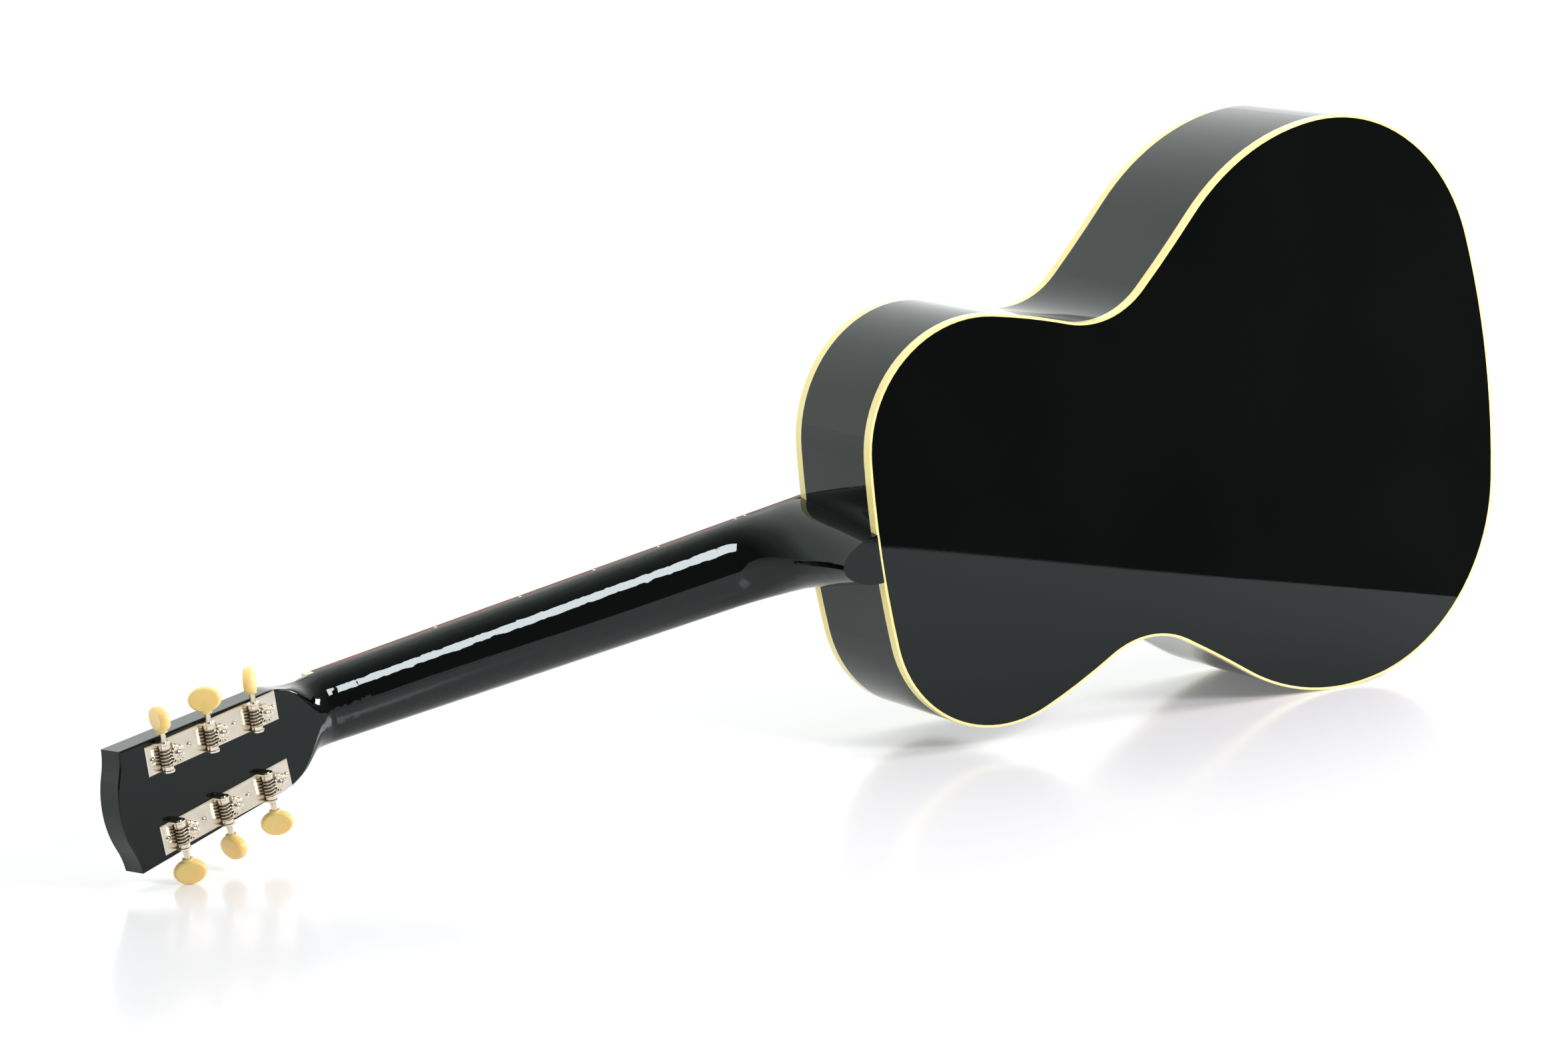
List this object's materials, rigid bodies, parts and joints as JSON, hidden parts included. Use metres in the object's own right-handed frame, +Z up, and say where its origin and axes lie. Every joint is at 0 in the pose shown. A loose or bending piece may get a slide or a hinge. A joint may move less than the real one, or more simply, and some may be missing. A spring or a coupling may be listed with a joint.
{
  "type": "acoustic guitar",
  "caption": "Small-bodied steel-string acoustic guitar in black gloss with cream binding, open-gear tuners, lying on its side.",
  "frame": {"origin": "bottom centre of the bounding box; the guitar lies on its treble side as in the picture", "axes": "+X from the headstock to the tail as seen in the picture, +Y out of the soundboard away from the camera, +Z up, towards the bass side"},
  "size_m": [1.0034, 0.1134, 0.3778],
  "materials": {
    "soundboard_lacquer": "black nitrocellulose lacquer, polished",
    "body_lacquer": "black nitrocellulose lacquer, polished",
    "neck_lacquer": "black nitrocellulose lacquer, polished",
    "cream_binding": "aged cream plastic under lacquer",
    "rosette_ring": "cream and black rings under lacquer",
    "bare_mahogany": "unfinished mahogany",
    "bare_spruce": "unfinished spruce",
    "bare_maple": "unfinished maple",
    "rosewood": "oiled rosewood",
    "pearl_dots": "pearloid plastic",
    "bone": "polished bone",
    "pin_plastic": "ivory-coloured plastic",
    "guard_plastic": "dark tortoise-pattern plastic",
    "black_plastic": "black plastic",
    "head_face": "black lacquered veneer",
    "fret_wire": "nickel silver",
    "nickel": "nickel plate, slightly aged",
    "tuner_steel": "nickel plate, slightly aged",
    "button_plastic": "ivoroid plastic, yellowed",
    "rod_steel": "plain steel",
    "plain_steel_string": "plain steel wire",
    "bronze_string": "bronze-wound steel"
  },
  "bodies": {
    "guitar": {"top_plate": "soundboard_lacquer", "back_plate": "body_lacquer", "rib_bass": "body_lacquer", "rib_treble": "body_lacquer", "top_binding": "cream_binding", "back_binding": "cream_binding", "top_linings": "bare_mahogany", "back_linings": "bare_mahogany", "neck_block": "bare_mahogany", "tail_block": "bare_mahogany", "x_brace": "bare_spruce", "top_braces": "bare_spruce", "back_braces": "bare_spruce", "back_centre_strip": "bare_spruce", "bridge_plate": "bare_maple", "rosette": "rosette_ring", "pickguard": "guard_plastic", "bridge": "rosewood", "saddle": "bone", "bridge_pins": "pin_plastic", "end_pin": "pin_plastic", "neck": "neck_lacquer", "fingerboard": "rosewood", "frets": "fret_wire", "position_dots": "pearl_dots", "nut": "bone", "truss_rod": "rod_steel", "truss_rod_cover": "black_plastic", "cover_screws": "nickel", "headstock_veneer": "head_face", "tuner_plate_bass": "nickel", "tuner_plate_treble": "nickel", "plate_screws": "nickel", "post_bushings": "nickel", "plain_strings": "plain_steel_string", "wound_strings": "bronze_string"},
    "tuner_1_worm": {"worm_1": "tuner_steel", "knob_1": "button_plastic"},
    "tuner_1_post": {"post_1": "tuner_steel", "gear_1": "tuner_steel"},
    "tuner_2_worm": {"worm_2": "tuner_steel", "knob_2": "button_plastic"},
    "tuner_2_post": {"post_2": "tuner_steel", "gear_2": "tuner_steel"},
    "tuner_3_worm": {"worm_3": "tuner_steel", "knob_3": "button_plastic"},
    "tuner_3_post": {"post_3": "tuner_steel", "gear_3": "tuner_steel"},
    "tuner_4_worm": {"worm_4": "tuner_steel", "knob_4": "button_plastic"},
    "tuner_4_post": {"post_4": "tuner_steel", "gear_4": "tuner_steel"},
    "tuner_5_worm": {"worm_5": "tuner_steel", "knob_5": "button_plastic"},
    "tuner_5_post": {"post_5": "tuner_steel", "gear_5": "tuner_steel"},
    "tuner_6_worm": {"worm_6": "tuner_steel", "knob_6": "button_plastic"},
    "tuner_6_post": {"post_6": "tuner_steel", "gear_6": "tuner_steel"}
  },
  "joints": [
    {"name": "tuner_1_button_turn", "type": "hinge", "parent": "guitar", "child": "tuner_1_worm", "pos_m": [-0.39216, 0.0053, 0.04201], "axis": [0.191, 0.0082, -0.9816], "continuous": true},
    {"name": "tuner_1_post_turn", "type": "hinge", "parent": "guitar", "child": "tuner_1_post", "pos_m": [-0.38665, 0.0117, 0.04314], "axis": [0.2851, -0.9573, 0.0474], "continuous": true},
    {"name": "tuner_2_button_turn", "type": "hinge", "parent": "guitar", "child": "tuner_2_worm", "pos_m": [-0.42503, -0.00481, 0.03553], "axis": [0.191, 0.0082, -0.9816], "continuous": true},
    {"name": "tuner_2_post_turn", "type": "hinge", "parent": "guitar", "child": "tuner_2_post", "pos_m": [-0.41952, 0.00159, 0.03666], "axis": [0.2851, -0.9573, 0.0474], "continuous": true},
    {"name": "tuner_3_button_turn", "type": "hinge", "parent": "guitar", "child": "tuner_3_worm", "pos_m": [-0.45744, -0.01478, 0.02915], "axis": [0.191, 0.0082, -0.9816], "continuous": true},
    {"name": "tuner_3_post_turn", "type": "hinge", "parent": "guitar", "child": "tuner_3_post", "pos_m": [-0.45193, -0.00838, 0.03027], "axis": [0.2851, -0.9573, 0.0474], "continuous": true},
    {"name": "tuner_4_button_turn", "type": "hinge", "parent": "guitar", "child": "tuner_4_worm", "pos_m": [-0.46502, -0.01478, 0.07467], "axis": [-0.1372, 0.0082, 0.9905], "continuous": true},
    {"name": "tuner_4_post_turn", "type": "hinge", "parent": "guitar", "child": "tuner_4_post", "pos_m": [-0.45943, -0.00838, 0.07539], "axis": [0.2851, -0.9573, 0.0474], "continuous": true},
    {"name": "tuner_5_button_turn", "type": "hinge", "parent": "guitar", "child": "tuner_5_worm", "pos_m": [-0.43229, -0.00481, 0.07912], "axis": [-0.1372, 0.0082, 0.9905], "continuous": true},
    {"name": "tuner_5_post_turn", "type": "hinge", "parent": "guitar", "child": "tuner_5_post", "pos_m": [-0.42671, 0.00159, 0.07984], "axis": [0.2851, -0.9573, 0.0474], "continuous": true},
    {"name": "tuner_6_button_turn", "type": "hinge", "parent": "guitar", "child": "tuner_6_worm", "pos_m": [-0.39909, 0.0053, 0.08364], "axis": [-0.1372, 0.0082, 0.9905], "continuous": true},
    {"name": "tuner_6_post_turn", "type": "hinge", "parent": "guitar", "child": "tuner_6_post", "pos_m": [-0.3935, 0.0117, 0.08436], "axis": [0.2851, -0.9573, 0.0474], "continuous": true}
  ],
  "couplings": [
    {"joint": "tuner_1_post_turn", "follows": "tuner_1_button_turn", "ratio": -0.066667},
    {"joint": "tuner_2_post_turn", "follows": "tuner_2_button_turn", "ratio": -0.066667},
    {"joint": "tuner_3_post_turn", "follows": "tuner_3_button_turn", "ratio": -0.066667},
    {"joint": "tuner_4_post_turn", "follows": "tuner_4_button_turn", "ratio": 0.066667},
    {"joint": "tuner_5_post_turn", "follows": "tuner_5_button_turn", "ratio": 0.066667},
    {"joint": "tuner_6_post_turn", "follows": "tuner_6_button_turn", "ratio": 0.066667}
  ]
}
